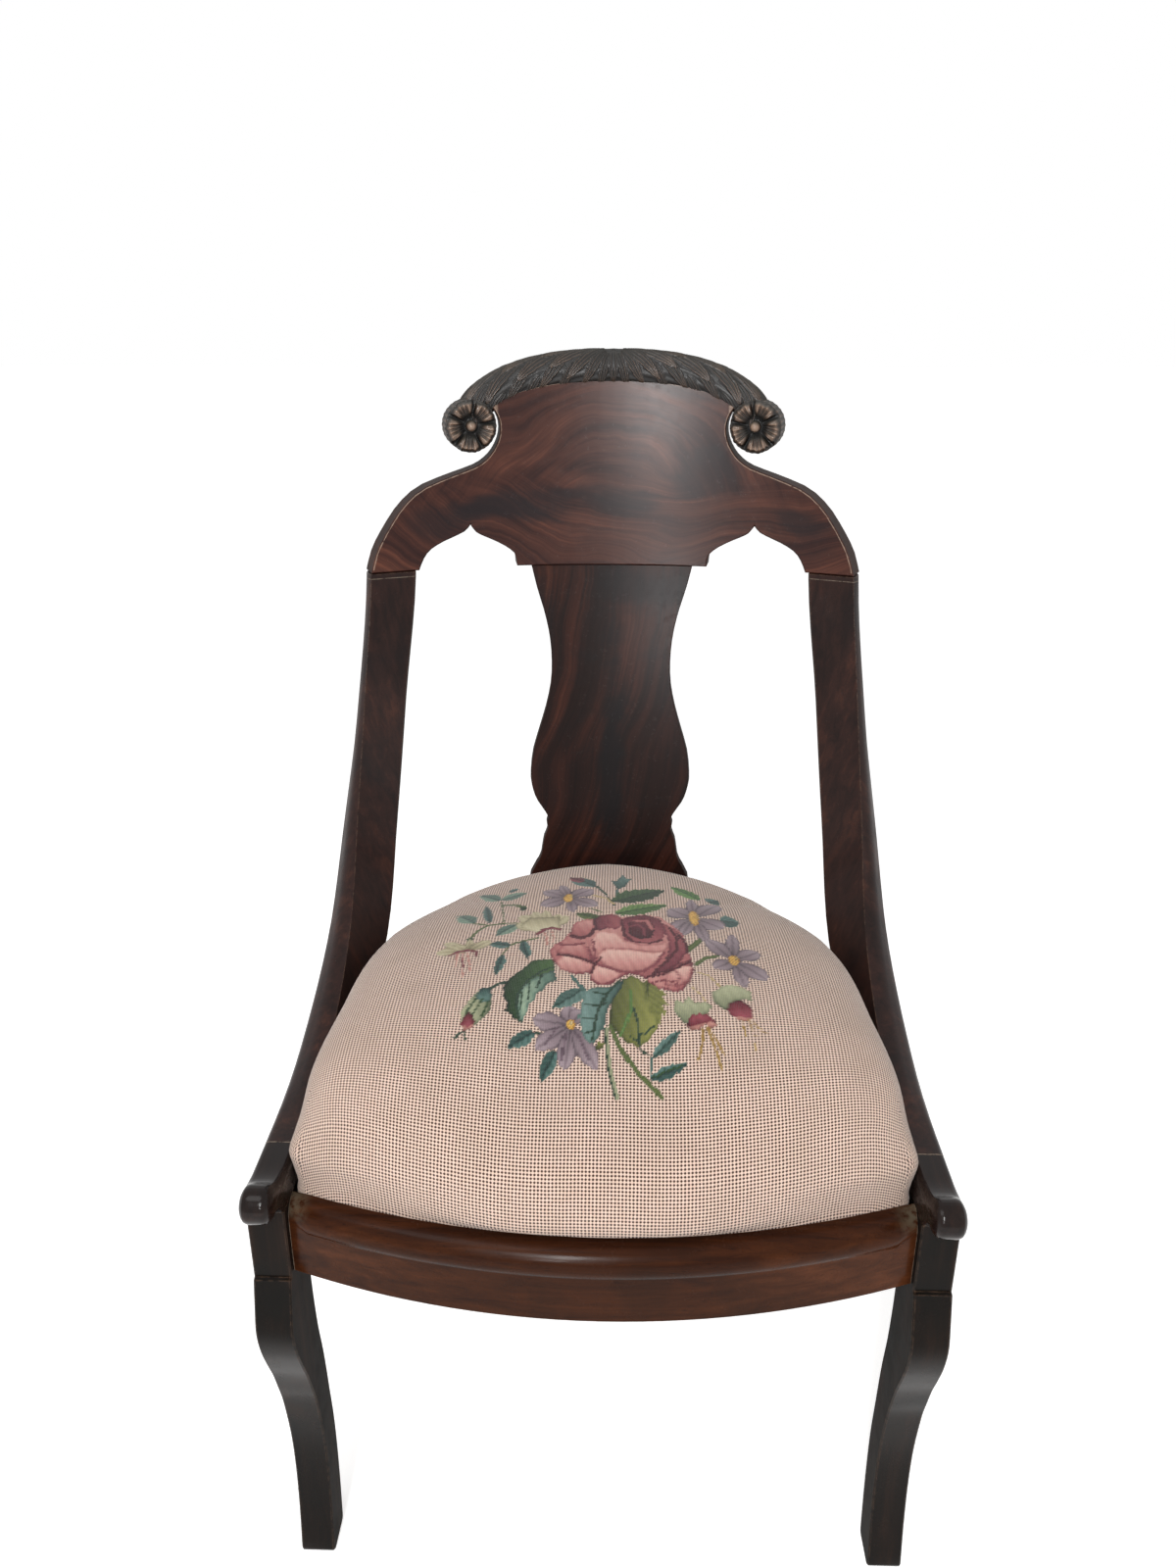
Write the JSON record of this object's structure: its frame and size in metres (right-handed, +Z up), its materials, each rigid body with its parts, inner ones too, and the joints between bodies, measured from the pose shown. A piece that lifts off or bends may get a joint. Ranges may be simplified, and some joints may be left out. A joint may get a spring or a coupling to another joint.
{
  "type": "lyre back side chair",
  "caption": "Barrel-backed mahogany side chair with a vase splat, carved crest, cabriole front legs, sabre rear legs and a drop-in needlepoint seat.",
  "frame": {"origin": "on the floor under the middle of the chair, the centre of its bounding box at the soles of the feet", "axes": "+Z up, the chair faces -Y, +X to the right of someone who looks at its front"},
  "size_m": [0.464, 0.5444, 0.8696],
  "materials": {
    "polished_mahogany": "dark french polished mahogany, edges worn a little lighter",
    "crotch_veneer": "polished crotch mahogany veneer with feathered red-brown figure",
    "carved_mahogany": "carved mahogany, polish worn from the high places and dark in the hollows",
    "inner_wood": "bare secondary wood, sawn and planed",
    "jute_webbing": "plain woven jute webbing",
    "stuffing": "muslin covered stuffing",
    "needlepoint": "wool needlepoint, flowers on a pale pink ground"
  },
  "bodies": {
    "chair_frame": {"crest_rail": "crotch_veneer", "crest_carving": "carved_mahogany", "splat": "crotch_veneer", "stile_right": "polished_mahogany", "stile_left": "polished_mahogany", "arm_end_right": "polished_mahogany", "arm_end_left": "polished_mahogany", "front_leg_right": "polished_mahogany", "front_leg_left": "polished_mahogany", "rear_leg_right": "polished_mahogany", "rear_leg_left": "polished_mahogany", "front_rail": "polished_mahogany", "side_rail_right": "polished_mahogany", "side_rail_left": "polished_mahogany", "rear_rail": "polished_mahogany", "front_corner_block_right": "inner_wood", "front_corner_block_left": "inner_wood", "rear_corner_block_right": "inner_wood", "rear_corner_block_left": "inner_wood", "outer_crest_dowel_right": "inner_wood", "outer_crest_dowel_left": "inner_wood", "inner_crest_dowel_right": "inner_wood", "inner_crest_dowel_left": "inner_wood", "arm_seam_dowel_right": "inner_wood", "arm_seam_dowel_left": "inner_wood", "leg_block_dowel_right": "inner_wood", "leg_block_dowel_left": "inner_wood"},
    "slip_seat": {"seat_frame_front": "inner_wood", "seat_frame_rear": "inner_wood", "seat_frame_side_right": "inner_wood", "seat_frame_side_left": "inner_wood", "webbing_along_1": "jute_webbing", "webbing_along_2": "jute_webbing", "webbing_along_3": "jute_webbing", "webbing_across_1": "jute_webbing", "webbing_across_2": "jute_webbing", "webbing_across_3": "jute_webbing", "seat_pad": "stuffing", "seat_cover": "needlepoint"}
  },
  "joints": [
    {"name": "seat_lift", "type": "slide", "parent": "chair_frame", "child": "slip_seat", "axis": [0, 0, 1], "range_m": [0, 0.07]}
  ]
}
